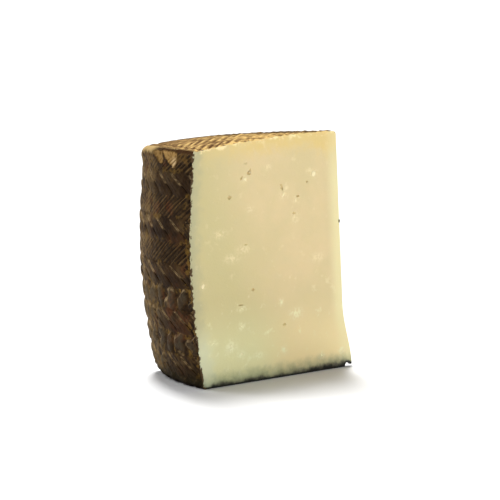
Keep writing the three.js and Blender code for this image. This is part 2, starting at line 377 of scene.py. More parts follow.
class Print:
    """What a woven mould leaves: rows of slanted fibres.

    In a zigzag, each row leans the other way from the last. In the other print all rows lean back, and each
    is set off by half a fibre from the last. A place on it is its fibre, its row and its share of that row.
    Crests stand between whole numbers of fibres, and a few fibres make a ribbon.
    """

    def __init__(self, row_height, pitch, depth_share, steps_across_row, zigzag):
        self.sizes = plait_sizes()
        self.row_height = row_height
        self.pitch = pitch
        self.depth_share = depth_share
        self.steps_across_row = steps_across_row
        self.zigzag = zigzag
        self.shift = row_height / math.tan(self.sizes.slope)

    def rising(self, row):
        return (np.mod(row, 2) == 1) | (not self.zigzag)

    def in_ribbon(self, fibre):
        return np.mod(fibre, self.sizes.fibres) / self.sizes.fibres

    def depth(self, fibre, row, share, faded=0):
        """How far the print lies under its highest point; faded fibres show less."""
        sizes = self.sizes
        if not self.zigzag:
            fibre = fibre + STAGGER * np.mod(row, 2)
        across = self.in_ribbon(fibre)
        rising = self.rising(row)
        from_line = np.minimum(share, 1 - share)
        end = (1 - np.minimum(from_line / END_SHARE, 1)) ** 2
        crown = np.sqrt(1 - np.abs(2 * across - 1) ** CROWN_POWER) * (1 - END_DEPTH * end)
        uneven = 1 - sizes.unevenness * chance(np.floor(fibre), row)
        crest = uneven * (1 - np.abs(2 * np.mod(fibre, 1) - 1)) ** CREST_POWER
        along = fibre * self.pitch
        up = (row + share) * self.row_height
        worn = 1 - WORN_SHARE * patches(along / WORN_PATCH, up / WORN_PATCH, seed=3)
        worn = worn * np.where(rising, 1, FALLING_FIBRES) * (1 - faded)
        sunk = SUNK_SHARE * crown * chance(np.floor(fibre / sizes.fibres), row + 11)
        overlap = OVERLAP * np.where(rising, across, 1 - across) * (1 - end)
        lump = LUMP_DEPTH * patches(along / LUMP_SIZE, up / LUMP_SIZE, seed=4)
        line = bell(from_line, LINE_WIDTH)
        fibres = sizes.fibre_depth * worn * blend(crown, EDGE_FIBRES, 1) * (1 - crest)
        ribbons = sizes.ribbon_depth * (1 - crown + sunk) + sizes.line_depth * line
        return self.depth_share * (ribbons + overlap + lump + fibres + FADED_DEPTH * faded)

    def lean(self, row, share):
        """Where a row's fibres have moved to along the row, at a share of its width."""
        if not self.zigzag:
            return -self.shift * (row + share)
        return self.shift * np.where(self.rising(row), share, 1 - share ** FALLING_BEND)

    def scallop(self, fibre, row):
        """How far the line under a row is pushed up or down by a ribbon's rounded end."""
        way = np.where(self.rising(row), 1, -1)
        return way * self.sizes.scallop * (np.sin(math.pi * self.in_ribbon(fibre)) - 0.5)

    def spot(self, column, station, first_fibre):
        """A grid point's place on the print, and how far that is along and across the rows."""
        fibre = first_fibre + column / STEPS_ACROSS_FIBRE
        rows = FIRST_ROW + station / self.steps_across_row
        row = np.floor(rows)
        share = rows - row
        stray = WANDER * bumps(fibre, rows, WANDER_BROAD, WANDER_FINE, WANDER_FINE_SHARE, seed=8)
        along = fibre * self.pitch + self.lean(row, share) + stray
        scallop = self.scallop(fibre, row) * (1 - share) ** 2 + self.scallop(fibre, row + 1) * share ** 2
        return fibre, row, share, along, rows * self.row_height + scallop

    def sheet(self, name, first_fibre, last_fibre, rows, put, uv_row=0):
        """A sheet over part of the print, each point set by put(fibre, row, share, along, across)."""
        fibres = last_fibre - first_fibre
        uv_size = ((fibres, rows), (first_fibre, FIRST_ROW + uv_row))

        def place(column, station):
            return put(*self.spot(column, station, first_fibre))

        return sheet(name, fibres * STEPS_ACROSS_FIBRE, rows * self.steps_across_row, place, uv_size)


# Marks on the rind

# Teeth of bare cheese where the skin is torn off under the rim: the heights of a tooth's root and point, in
# millimetres, then where they stand round the wheel and half the root's width, in degrees
TORN_TEETH = ((104.2, 98.6, -0.4, 2.2, 2.8), (104.6, 97.4, 6.3, 9.0, 3.3))
TORN_SOFT = 1.1  # degrees over which a tooth's edge fades
TORN_RAGGED = 0.9  # degrees by which a tooth's edge strays
TORN_RAGGED_SIZE = (1.3, 2.4 * MM)  # degrees round the wheel and height of each stray bend
TORN_DEPTH = 0.6 * MM
LIP_HEIGHT = 105.2 * MM
LIP_HALF_HEIGHTS = (0.6 * MM, 1.2 * MM)  # where the dark lip under the rim starts, and where it is thick
LIP_DEPTH = 1.0 * MM
LIP_THICK = (8.5, 10.5)  # degrees round the wheel between which it gets thick
LIP_THIN = (-3.0, 0.0)  # and between which its thin end starts
LIP_THIN_SHARE = 0.6
RIM_FADE = (6.5 * MM, 4.0 * MM)  # how far under the rim the print starts to fade, and where it has gone
RIM_DEPTH = 0.3 * MM
RING_GROOVES = (3.2 * MM, 6.9 * MM)  # how far inside the rim the lid's ring grooves lie
RING_HALF_WIDTH = 0.9 * MM
RING_WAVE = 0.5 * MM  # how far the grooves stray
RING_WAVE_SIZE = (2.5, 8 * MM)  # degrees round the wheel and way inwards of each stray bend
TOP_FADE = (1 * MM, 4 * MM)  # how far inside the rim the top's print has gone, and where it is whole
TOP_WORN = (20 * MM, 34 * MM)  # how far from the near cut the top's print starts to wear, and is worn
TOP_WORN_SHARE = 0.75
FADED_FROM = (5, -5)  # degrees round the wheel between which the side's fibres fade
FADED_SHARE = 0.9

# Rounded pads low on the side, where the mould's plait had worn smooth
PAD_PITCH = 9.4 * MM
PAD_START = 3.6 * MM  # where the lowest row's first pad stands, round the wheel
PAD_SET_OFF = 2.5 * MM  # how far each row's pads are set off from the last row's
PAD_HALF = (0.9, 0.92)  # half a pad's width and height, beside half its room
PAD_LEAN = 0.4  # how far a pad's top leans over its foot, beside its room
PAD_POINTED = 1.55  # 2 makes a pad an oval, and 1 a diamond
PAD_STRAY = (0.6, 0.45)  # how far a pad's outline strays along and up, beside its room
PAD_STRAY_SIZES = ((5 * MM, 4 * MM), (6 * MM, 4 * MM))  # the sizes of the bends along and up
PAD_EDGE = (0.92, 0.2)  # where a pad's light edge, pale all round and a painted highlight at its upper left, lies and half its width, beside half the pad's
PAD_EDGE_LIT = 0.6  # how much of the pad edge's painted highlight depends on its facing the upper left
PAD_DEPTH = 0.8 * MM
PAD_SUNK = 0.5 * MM  # how far a pad's middle lies under the highest fibres
PADS_UNDER = 45 * MM  # the height that the pads reach
PADS_LEFT_OF = (1.0, -4.0)  # degrees round the wheel between which the falling rows' pads begin


def torn_at(round_wheel, z):
    """How far the skin is torn off, from 0 to 1, at degrees round the wheel and a height."""
    ragged = TORN_RAGGED * bend(round_wheel, z, TORN_RAGGED_SIZE, seed=21)
    torn = np.zeros_like(z)
    for root, point, root_at, point_at, half in TORN_TEETH:
        down = np.clip((root - z / MM) / (root - point), 0, 1)
        reach = half * (1 - down ** 2) + ragged
        aside = np.abs(round_wheel - root_at - (point_at - root_at) * down)
        inside = np.clip((reach - aside) / TORN_SOFT + 0.5, 0, 1)
        torn = np.maximum(torn, inside * (down > 0) * (down < 1))
    return torn


def lip_at(round_wheel, z):
    """How deep in the dark lip a place lies, from 0 to 1."""
    start = np.maximum(ramp(round_wheel, *LIP_THICK), LIP_THIN_SHARE * ramp(round_wheel, *LIP_THIN))
    return start * bell(z - LIP_HEIGHT, blend(start, *LIP_HALF_HEIGHTS))


def rim_at(z, across):
    """How near the rim a place on the side is: 0 where the print is whole and 1 where it has gone."""
    rim = wheel_sizes().height - rim_drop(across)
    return smooth(ramp(rim - z, *RIM_FADE))


def rings_at(x, y):
    """How deep in one of the rim's ring grooves a place on the top lies, from 0 to 1."""
    inside = wheel_sizes().top_radius - np.hypot(x, y)
    round_wheel = np.degrees(np.arctan2(y, -x))
    inside = inside + RING_WAVE * (bend(round_wheel, inside, RING_WAVE_SIZE, seed=13) + 0.5)
    return sum(bell(inside - groove, RING_HALF_WIDTH) for groove in RING_GROOVES)


def faded_at(round_wheel):
    """How far the side's fibres have faded, at degrees round the wheel."""
    return FADED_SHARE * ramp(round_wheel, *FADED_FROM)


def pad_at(along, z):
    """How far a place is from its pad's middle, 1 at the edge, and how much it shows of the light edge,
    with its painted highlight.
    """
    plait = plait_sizes()
    aside = PAD_STRAY[0] * bend(along, z, PAD_STRAY_SIZES[0], seed=31)
    above = PAD_STRAY[1] * bend(along, z, PAD_STRAY_SIZES[1], seed=32)
    rows = (z - plait.first_row) / plait.row_height + above
    row = np.floor(rows)
    up = 2 * (rows - row) - 1
    column = (along - PAD_START - PAD_SET_OFF * row) / PAD_PITCH - PAD_LEAN * up / 2 + aside
    across = 2 * (column - np.rint(column)) / PAD_HALF[0]
    up = up / PAD_HALF[1]
    distance = (np.abs(across) ** PAD_POINTED + np.abs(up) ** PAD_POINTED) ** (1 / PAD_POINTED)
    facing = (up - across) / (distance + 0.1)
    # painted highlight: the edge is lighter where it faces the upper left
    lit = np.clip(1 - PAD_EDGE_LIT + PAD_EDGE_LIT * facing, 0, 1)
    return distance, lit * bell(distance - PAD_EDGE[0], PAD_EDGE[1])


def padded_at(round_wheel, z):
    """How far pads take the place of the side's fibres, from 0 to 1."""
    plait = plait_sizes()
    row = np.floor((z - plait.first_row) / plait.row_height)
    low = np.clip((PADS_UNDER - z) / MM + 0.5, 0, 1)
    return low * np.where(np.mod(row, 2) == 1, 1, ramp(round_wheel, *PADS_LEFT_OF))


# Sheets and blocks

BEHIND = 40 * MM  # how far behind its sheet a block's flat back lies
SPARE = 3 * MM  # what a block has over the wedge, so that a cut never runs along its edge
KNIFE_PAST_RIND = 20 * MM  # how far the knife's blade reaches past the rind
KNIFE_PAST_ENDS = 5 * MM  # and above and below the wheel
CUT_STEP = 0.8 * MM
DRIFT_BROAD = (22 * MM, 30 * MM)  # the sizes of the waves that the knife leaves, along and up
DRIFT_MIDDLING = (9 * MM, 14 * MM)
DRIFT_FINE = (2.6 * MM, 3.5 * MM)
DRIFT_MIDDLING_SHARE = 0.5  # how deep these waves are, beside the broad ones
DRIFT_FINE_SHARE = 0.3
ARC_STEPS = 6  # in the rounded edge at the tip
TIP_ROUND_TAKES = 2.44  # how far the rounding takes the tip back, beside its radius


def only(*pieces):
    """Selects some pieces and makes the first one active."""
    bpy.ops.object.select_all(action="DESELECT")
    for piece in pieces:
        piece.select_set(True)
    bpy.context.view_layer.objects.active = pieces[0]


def points_of(piece):
    flat = np.zeros(len(piece.data.vertices) * 3)
    piece.data.vertices.foreach_get("co", flat)
    return flat.reshape(-1, 3)


def move_points(piece, points):
    piece.data.vertices.foreach_set("co", np.ascontiguousarray(points, dtype=np.float32).ravel())
    piece.data.update()


def sheet(name, columns, rows, place, uv_size):
    """A grid, each point set by place(column, row), and a UV map of the given size and start."""
    bpy.ops.mesh.primitive_grid_add(x_subdivisions=columns, y_subdivisions=rows, size=1, calc_uvs=True)
    piece = bpy.context.object
    piece.name = name
    start = points_of(piece)
    column = np.rint((start[:, 0] + 0.5) * columns)
    row = np.rint((start[:, 1] + 0.5) * rows)
    move_points(piece, place(column, row))
    layer = piece.data.uv_layers[0]
    layer.name = "plait"
    flat = np.zeros(len(layer.data) * 2, np.float32)
    layer.data.foreach_get("uv", flat)
    uv = flat.reshape(-1, 2) * np.array(uv_size[0]) + np.array(uv_size[1])
    layer.data.foreach_set("uv", uv.ravel())
    return piece


def close_behind(piece, flatten, through):
    """Draws the sheet's open edge out to a flat back and fills it, which makes it a solid block."""
    only(piece)
    bpy.ops.object.mode_set(mode="EDIT")
    bpy.ops.mesh.select_mode(type="EDGE")
    bpy.ops.mesh.select_all(action="DESELECT")
    bpy.ops.mesh.select_non_manifold()
    bpy.ops.mesh.extrude_edges_move()
    bpy.ops.transform.resize(value=flatten, center_override=through)
    bpy.ops.mesh.edge_face_add()
    bpy.ops.mesh.select_all(action="SELECT")
    bpy.ops.mesh.normals_make_consistent(inside=False)
    bpy.ops.object.mode_set(mode="OBJECT")
    return piece


def made_of(piece, *materials):
    for material in materials:
        piece.data.materials.append(material)
    return piece


def cut_with(piece, tool, operation):
    """Applies a Boolean to the piece and removes the tool."""
    only(piece)
    modifier = piece.modifiers.new("cut", "BOOLEAN")
    modifier.operation = operation
    modifier.solver = "MANIFOLD"
    modifier.material_mode = "TRANSFER"
    modifier.object = tool
    bpy.ops.object.modifier_apply(modifier=modifier.name)
    bpy.data.objects.remove(tool)


def side_block():
    """The wheel's side, over more than the wedge."""
    wheel = wheel_sizes()
    sizes = plait_sizes()
    plait = Print(sizes.row_height, sizes.pitch, 1, steps_across_row=18, zigzag=True)
    half_span = half_angle() * wheel.belly_radius + SPARE

    def put(fibre, row, share, along, across):
        z = sizes.first_row + across
        angle = along / wheel.belly_radius
        wedge_share = across_wedge(-np.cos(angle), -np.sin(angle))
        round_wheel = np.degrees(angle)
        depth = plait.depth(fibre, row, share, faded_at(round_wheel))
        pad = PAD_SUNK + PAD_DEPTH * round_off(1, pad_at(along, z)[0])
        depth = blend(padded_at(round_wheel, z), depth, pad)
        depth = blend(rim_at(z, wedge_share), depth, RIM_DEPTH)
        depth = blend(torn_at(round_wheel, z), depth, TORN_DEPTH)
        radius = side_radius(z, wedge_share) - depth - LIP_DEPTH * lip_at(round_wheel, z)
        return np.stack([-radius * np.cos(angle), -radius * np.sin(angle), z], axis=1)

    first_fibre = math.floor((-half_span - plait.shift) / plait.pitch)
    last_fibre = math.ceil(half_span / plait.pitch)
    rows = math.ceil(wheel.height / plait.row_height) + 1
    piece = plait.sheet("side", first_fibre, last_fibre, rows, put)
    return close_behind(piece, (0, 1, 1), (BEHIND, 0, 0))


def top_block():
    """Everything between the flat foot and the printed top, whose rows run along the near cut."""
    wheel = wheel_sizes()
    sizes = plait_sizes()
    plait = Print(sizes.top_row_height, sizes.top_pitch, sizes.top_scale, steps_across_row=20, zigzag=False)

    def put(fibre, row, share, along, across):
        points = np.outer(along, near_way()) + np.outer(sizes.top_offset + across, into_near())
        x, y = points[:, 0], points[:, 1]
        inside = wheel.top_radius - np.hypot(x, y)
        worn = ramp(points @ into_near(), *TOP_WORN)
        whole = ramp(inside, *TOP_FADE) * (1 - TOP_WORN_SHARE * worn)
        rings = sizes.ring_depth * rings_at(x, y)
        marks = plait.depth(fibre, row, share) * whole + RIM_DEPTH * (1 - whole) + rings
        points[:, 2] = top_height(x, y) - marks - tip_corner(points)
        return points

    rows = math.ceil((2 * wheel.belly_radius * math.sin(half_angle()) + SPARE) / plait.row_height) + 1
    first_fibre = math.floor((-2 * SPARE - plait.shift) / plait.pitch)
    last_fibre = math.ceil((wheel.belly_radius + SPARE + plait.shift * rows) / plait.pitch)
    piece = plait.sheet("top", first_fibre, last_fibre, rows, put, TOP_ROWS_START)
    return close_behind(piece, (1, 1, 0), (0, 0, 0))


def knife_section():
    """A level section through both cuts, round the tip at the origin: points and outward ways."""
    cuts = cut_sizes()
    h = half_angle()
    tangent = cuts.tip_round / math.tan(h)
    reach = wheel_sizes().belly_radius + KNIFE_PAST_RIND
    straight = np.linspace(reach, tangent, round((reach - tangent) / CUT_STEP))
    middle = np.array([-cuts.tip_round / math.sin(h), 0, 0])
    turns = np.linspace(h - math.pi / 2, math.pi / 2 - h, ARC_STEPS + 1)[1:-1]
    arc_out = np.stack([np.cos(turns), np.sin(turns), 0 * turns], axis=1)
    arc = middle + cuts.tip_round * arc_out
    points = [np.outer(straight, near_way()), arc, np.outer(straight[::-1], far_way())]
    near_out, far_out = (np.tile(-inward, (len(straight), 1)) for inward in (into_near(), into_far()))
    return np.concatenate(points), np.concatenate([near_out, arc_out, far_out])


def knife_block():
    """The space between the two cuts."""
    cuts = cut_sizes()
    wheel = wheel_sizes()
    points, outward = knife_section()
    low, high = -KNIFE_PAST_ENDS, wheel.height + KNIFE_PAST_ENDS
    rows = round((high - low) / CUT_STEP)

    def place(column, row):
        index = column.astype(int)
        z = low + (high - low) * row / rows
        reach = tip_reach(z) + TIP_ROUND_TAKES * cuts.tip_round
        placed = points[index] - np.outer(reach, near_way())
        along = index * CUT_STEP
        drift = bumps(along, z, DRIFT_BROAD, DRIFT_MIDDLING, DRIFT_MIDDLING_SHARE, seed=5)
        drift = cuts.drift * (drift + DRIFT_FINE_SHARE * bend(along, z, DRIFT_FINE, seed=7))
        placed = placed + outward[index] * drift[:, None]
        placed[:, 2] = z
        return placed

    piece = sheet("cuts", len(points) - 1, rows, place, ((1, 1), (0, 0)))
    return close_behind(piece, (0, 1, 1), (-wheel.belly_radius - BEHIND, 0, 0))


# Eyes, breaks and pale spots in the cuts

# The near cut's eyes: distance from the axis, height, half width and half height, in millimetres, and
# lean in degrees
NEAR_EYES = (
    (60.6, 98.7, 1.2, 0.8, 0), (57.9, 95.0, 0.7, 1.2, 0), (58.4, 93.9, 1.4, 0.8, 0),
    (63.2, 92.0, 0.5, 1.4, -25), (38.4, 86.4, 0.75, 1.7, 26), (30.5, 74.3, 1.0, 0.7, 0),
    (70.4, 84.0, 0.9, 0.75, 0), (28.4, 81.9, 0.8, 0.45, 0), (56.3, 41.7, 0.9, 0.8, 0),
    (63.6, 35.4, 1.5, 0.28, 0), (36.7, 24.0, 1.0, 0.7, 0), (60.5, 62.3, 0.9, 0.3, 10),
    (22.5, 88.0, 0.7, 0.4, 0),
)
FAR_EYES = 16
FAR_EYE_HEIGHTS = (0.12, 0.86)  # as shares of the wheel's height
FAR_EYE_PLACES = (0.2, 0.8)  # as shares of its radius
FAR_EYE_HALVES = (0.45 * MM, 1.0 * MM)
FAR_EYE_TALL = (0.6, 1.4)  # its height, beside its width
EYE_DEPTH = 0.55 * MM
LUMP = 0.7 * MM  # size of the lumps in the outline of an eye and of the crumb
LUMPINESS = 0.9  # how much the lumps change its size

# Pale soft spots in the near cut, in millimetres: distance from the axis, height, and half width and height
PALE_SPOTS = (
    (60.8, 91.4, 1.7, 0.9), (37.4, 82.8, 2.1, 1.5), (35.5, 85.5, 0.8, 2.0), (18.3, 91.6, 1.9, 1.3),
    (21.0, 93.0, 1.6, 0.8), (29.3, 80.3, 1.6, 1.2), (29.6, 72.0, 1.8, 1.6), (61.8, 60.3, 3.0, 1.3),
    (69.2, 56.6, 3.2, 1.4), (15.5, 53.0, 2.6, 1.4), (29.1, 28.4, 2.8, 1.6), (38.7, 34.5, 1.1, 1.1),
    (62.6, 33.6, 2.4, 0.8), (63.1, 25.9, 1.5, 1.2), (69.5, 17.0, 2.6, 2.4), (63.5, 13.2, 2.2, 1.2),
    (52.5, 11.5, 2.4, 1.2), (80.2, 20.0, 2.2, 0.9), (36.7, 12.6, 1.3, 1.2), (12.7, 7.2, 1.3, 1.1),
    (86.1, 45.9, 1.3, 1.0), (58.0, 78.0, 1.5, 1.0), (76.0, 68.0, 2.8, 1.2), (47.0, 96.0, 1.4, 1.0),
)
SPOT_SPREAD = 1.3  # how far a spot fades out, beside its half sizes

# The hollows under the tip's foot: how far in from the tip along the near cut, half width and height
BREAKS = ((2.9 * MM, 1.9 * MM, 2.0 * MM), (0.4 * MM, 1.7 * MM, 0.9 * MM))
BREAK_LIP = 2.0  # how much faster the dark rind ends round a hollow than above the foot
BREAK_HALF_DEPTH = 8 * MM


def turned(way, lean=0):
    """The turn from the X axis to a level way, after a lean."""
    return (0, lean, math.atan2(way[1], way[0]))


def ball(middle, scale, rotation=(0, 0, 0), radius=1):
    """A ball at a place, scaled before it is turned."""
    bpy.ops.mesh.primitive_ico_sphere_add(
        subdivisions=3, radius=radius, location=middle, rotation=rotation, scale=scale
    )
    bpy.ops.object.transform_apply()
    return bpy.context.object


def roughen(piece, middle, seed, away=0, height=0):
    """Makes a ball lumpy, with other lumps for each place on a cut."""
    from_middle = points_of(piece) - middle
    x, _, z = from_middle.T / LUMP
    lumps = patches(x + away / MM, z + height / MM, seed) - 0.5
    move_points(piece, middle + from_middle * (1 + LUMPINESS * lumps)[:, None])


def eye(way, away, height, half_width, half_height, lean=0):
    """One small uneven ball that takes an eye out of a cut."""
    middle = way * away + upwards(height)
    piece = ball(middle, (half_width, EYE_DEPTH, half_height), turned(way, lean))
    roughen(piece, middle, 41, away, height)
    return piece


def join(pieces, name):
    only(*pieces)
    bpy.ops.object.join()
    pieces[0].name = name
    return pieces[0]


def far_cut_place(away, height):
    """A point on the far cut, at a distance from the axis."""
    reach = tip_reach(height) + TIP_ROUND_TAKES * cut_sizes().tip_round
    return far_way() * (away + reach) - near_way() * reach + upwards(height)


def eyes():
    wheel = wheel_sizes()
    balls = [
        eye(near_way(), away * MM, height * MM, wide * MM, tall * MM, math.radians(lean))
        for away, height, wide, tall, lean in NEAR_EYES
    ]
    for index in range(FAR_EYES):
        height = wheel.height * blend(chance(index, 1), *FAR_EYE_HEIGHTS)
        away = wheel.belly_radius * blend(chance(index, 2), *FAR_EYE_PLACES)
        half = blend(chance(index, 3), *FAR_EYE_HALVES)
        piece = eye(far_way(), 0, 0, half, half * blend(chance(index, 4), *FAR_EYE_TALL))
        move_points(piece, points_of(piece) + far_cut_place(away, height))
        balls.append(piece)
    return join(balls, "eyes")


def pale_at(points):
    """How pale a place on the near cut is, from 0 to 1."""
    away = points @ near_way() / MM
    up = points[:, 2] / MM
    pale = np.zeros(len(points))
    for middle, height, half_width, half_height in PALE_SPOTS:
        square = ((away - middle) / half_width) ** 2 + ((up - height) / half_height) ** 2
        pale = np.maximum(pale, np.exp(-square / SPOT_SPREAD ** 2))
    return pale * bell(points @ into_near(), 1 * MM)


def break_middle(inside):
    return near_way() * (inside - tip_reach(np.array(0.0)))


def tip_break(inside, half_width, height):
    """A hollow where the foot's rind has curled up under the tip."""
    scale = (half_width, BREAK_HALF_DEPTH, height)
    middle = break_middle(inside)
    bpy.ops.mesh.primitive_uv_sphere_add(location=middle, rotation=turned(near_way()), scale=scale)
    bpy.ops.object.transform_apply()
    return bpy.context.object


def write_zones(piece):
    """Writes for the materials how deep each point lies, in millimetres, and the marks on the rind."""
    points = points_of(piece)
    x, y, z = points.T
    from_tip = points + np.outer(tip_reach(z), near_way())
    round_wheel = np.degrees(np.arctan2(-y, -x))
    above = z
    for inside, half_width, height in BREAKS:
        ahead = (points - break_middle(inside)) @ near_way()
        from_hollow = np.hypot(ahead, z) - (half_width + height) / 2
        above = np.minimum(above, BREAK_LIP * np.maximum(from_hollow, 0))
    pad, pad_edge = pad_at(np.radians(round_wheel) * wheel_sizes().belly_radius, z)
    depths = {
        "from_side": side_radius(z, across_wedge(x, y)) - np.hypot(x, y),
        "from_top": top_height(x, y) - z,
        "from_foot": above,
        "from_tip": np.hypot(from_tip[:, 0], from_tip[:, 1]),
        "from_near": from_tip @ into_near(),
        "from_far": from_tip @ into_far(),
    }
    zones = {name: depth / MM for name, depth in depths.items()} | {
        "round_wheel": round_wheel,
        "torn": torn_at(round_wheel, z),
        "lip": lip_at(round_wheel, z),
        "rings": rings_at(x, y),
        "pad": pad,
        "pad_edge": pad_edge,
        "padded": padded_at(round_wheel, z),
        "pale": pale_at(points),
    }
    for name, values in zones.items():
        attribute = piece.data.attributes.new(name, "FLOAT", "POINT")
        attribute.data.foreach_set("value", values.astype(np.float32))


def wheel_axis():
    """Where the wheel's axis stands in the frame: the solid's furthest point is the tip's foot."""
    tip = max((v.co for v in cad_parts[NODE].data.vertices), key=lambda co: co.x)
    near = near_way() * float(tip_reach(np.array(0.0)))
    return Vector((tip.x + near[0], tip.y + near[1], 0))


def hand_over(piece, replaced=()):
    """Moves a finished piece into the frame, hangs it on the root body, and hides the solids that it stands
    for.
    """
    only(piece)
    piece.location = wheel_axis()
    bpy.ops.object.transform_apply(location=True, rotation=True, scale=True)
    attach(piece, "root")
    if replaced:
        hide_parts(*replaced)


# Shader groups

STREAKS_PER_FIBRE = 4
STREAKS_PER_ROW = 2.2
BUMP_STRENGTH = 0.7
MILKY_RADII = (1.0, 0.7, 0.35)  # how far red, green and blue light reach in the paste, beside its depth


class Value:
    """A socket to reckon with: each step adds a node to its graph."""

    def __init__(self, graph, socket):
        self.graph = graph
        self.socket = socket

    def __add__(self, other):
        return self.graph.math("ADD", self, other)

    def __sub__(self, other):
        return self.graph.math("SUBTRACT", self, other)

    def __rsub__(self, other):
        return self.graph.math("SUBTRACT", other, self)

    def __mul__(self, other):
        return self.graph.math("MULTIPLY", self, other)

    def __or__(self, other):
        """The stronger of two masks."""
        return self.graph.math("MAXIMUM", self, other)

    def __and__(self, other):
        """The smaller of two distances."""
        return self.graph.math("MINIMUM", self, other)

    def step(self, low, high):
        """0 under low and 1 over high, or the other way round, with a smooth step between."""
        inputs = {"Value": self, "From Min": low, "From Max": high}
        return self.graph.add("ShaderNodeMapRange", "Result", inputs, interpolation_type="SMOOTHSTEP")


class Graph:
    """Adds nodes to a material or a group, and links or sets their sockets."""

    def __init__(self, tree):
        self.tree = tree

    def feed(self, socket, value):
        if isinstance(value, Value):
            self.tree.links.new(value.socket, socket)
        else:
            socket.default_value = value

    def new(self, kind, inputs, **settings):
        """Adds a node, and gives back its outputs."""
        node = self.tree.nodes.new(kind)
        for name, setting in settings.items():
            setattr(node, name, setting)
        for key, value in inputs.items():
            self.feed(node.inputs[key], value)
        return node.outputs

    def add(self, kind, gives, inputs=None, **settings):
        """Adds a node, and gives back one of its outputs."""
        return Value(self, self.new(kind, inputs or {}, **settings)[gives])

    def math(self, operation, *values):
        return self.add("ShaderNodeMath", 0, dict(enumerate(values)), operation=operation)

    def mix(self, share, first, second):
        return self.add("ShaderNodeMix", 2, {0: share, 6: first, 7: second}, data_type="RGBA")

    def noise(self, place, scale, detail=2, roughness=0.5):
        inputs = {"Vector": place, "Scale": scale, "Detail": detail, "Roughness": roughness}
        return self.add("ShaderNodeTexNoise", "Fac", inputs)

    def split(self, vector):
        return [Value(self, socket) for socket in self.new("ShaderNodeSeparateXYZ", {"Vector": vector})]

    def combine(self, x, y):
        return self.add("ShaderNodeCombineXYZ", "Vector", {"X": x, "Y": y})

    def group(self, name, build, inputs):
        """What a shared shader group gives. It is built when it is first used."""
        tree = bpy.data.node_groups.get(name) or new_group(name, build, inputs)
        outputs = self.new("ShaderNodeGroup", inputs, node_tree=tree)
        return {socket.name: Value(self, socket) for socket in outputs}


def new_group(name, build, inputs):
    """A shader group with named inputs, of which the first is a place, and what build makes of them."""
    tree = bpy.data.node_groups.new(name, "ShaderNodeTree")
    graph = Graph(tree)
    for index, socket in enumerate(inputs):
        kind = "NodeSocketFloat" if index else "NodeSocketVector"
        tree.interface.new_socket(name=socket, in_out="INPUT", socket_type=kind)
    given = tree.nodes.new("NodeGroupInput").outputs
    results = build(graph, *(Value(graph, given[socket]) for socket in inputs))
    for socket in results:
        tree.interface.new_socket(name=socket, in_out="OUTPUT", socket_type="NodeSocketFloat")
    gives = tree.nodes.new("NodeGroupOutput").inputs
    for socket, value in results.items():
        graph.feed(gives[socket], value)
    return tree


def patches_group(graph, place, per_metre, low, high):
    """Patches of a chosen size, from 0 to 1, between two levels of a noise."""
    return {"Mask": graph.noise(place, per_metre, 3, 0.55).step(low, high)}


def grain_group(graph, place, coarse, fine):
    """A fine uneven surface: two sizes of grain, added up."""
    return {"Height": graph.noise(place, fine, 2) * 0.4 + graph.noise(place, coarse, 3)}


def plait_group(graph, plait, fibres, stagger):
    """Where a point lies in its fibre, ribbon and row, their chances, and streaks along the fibres."""
    along, row, _ = graph.split(plait)
    whole_row = graph.math("FLOOR", row)
    rising = graph.math("MODULO", whole_row + 2, 2)
    fibre = along + rising * stagger
    ribbon = graph.math("DIVIDE", fibre, fibres)

    def from_middle(value):
        """0 in the middle between whole numbers and 1 on them."""
        return graph.math("ABSOLUTE", graph.math("FRACT", value) * 2 - 1)

    def chance_of(value):
        place = graph.combine(graph.math("FLOOR", value), whole_row)
        return graph.add("ShaderNodeTexWhiteNoise", "Value", {"Vector": place}, noise_dimensions="2D")

    return {
        "Crest": 1 - from_middle(fibre),
        "Ribbon edge": from_middle(ribbon),
        "Row line": from_middle(row),
        "Rising": rising,
        "Share": graph.math("FRACT", row),
        "Fibre chance": chance_of(fibre),
        "Ribbon chance": chance_of(ribbon),
        "Streak": graph.noise(graph.combine(fibre * STREAKS_PER_FIBRE, row * STREAKS_PER_ROW), 1, 3, 0.6),
    }


# Materials

# Steps from an edge are in millimetres and those round the wheel in degrees. Patches are counted per metre.

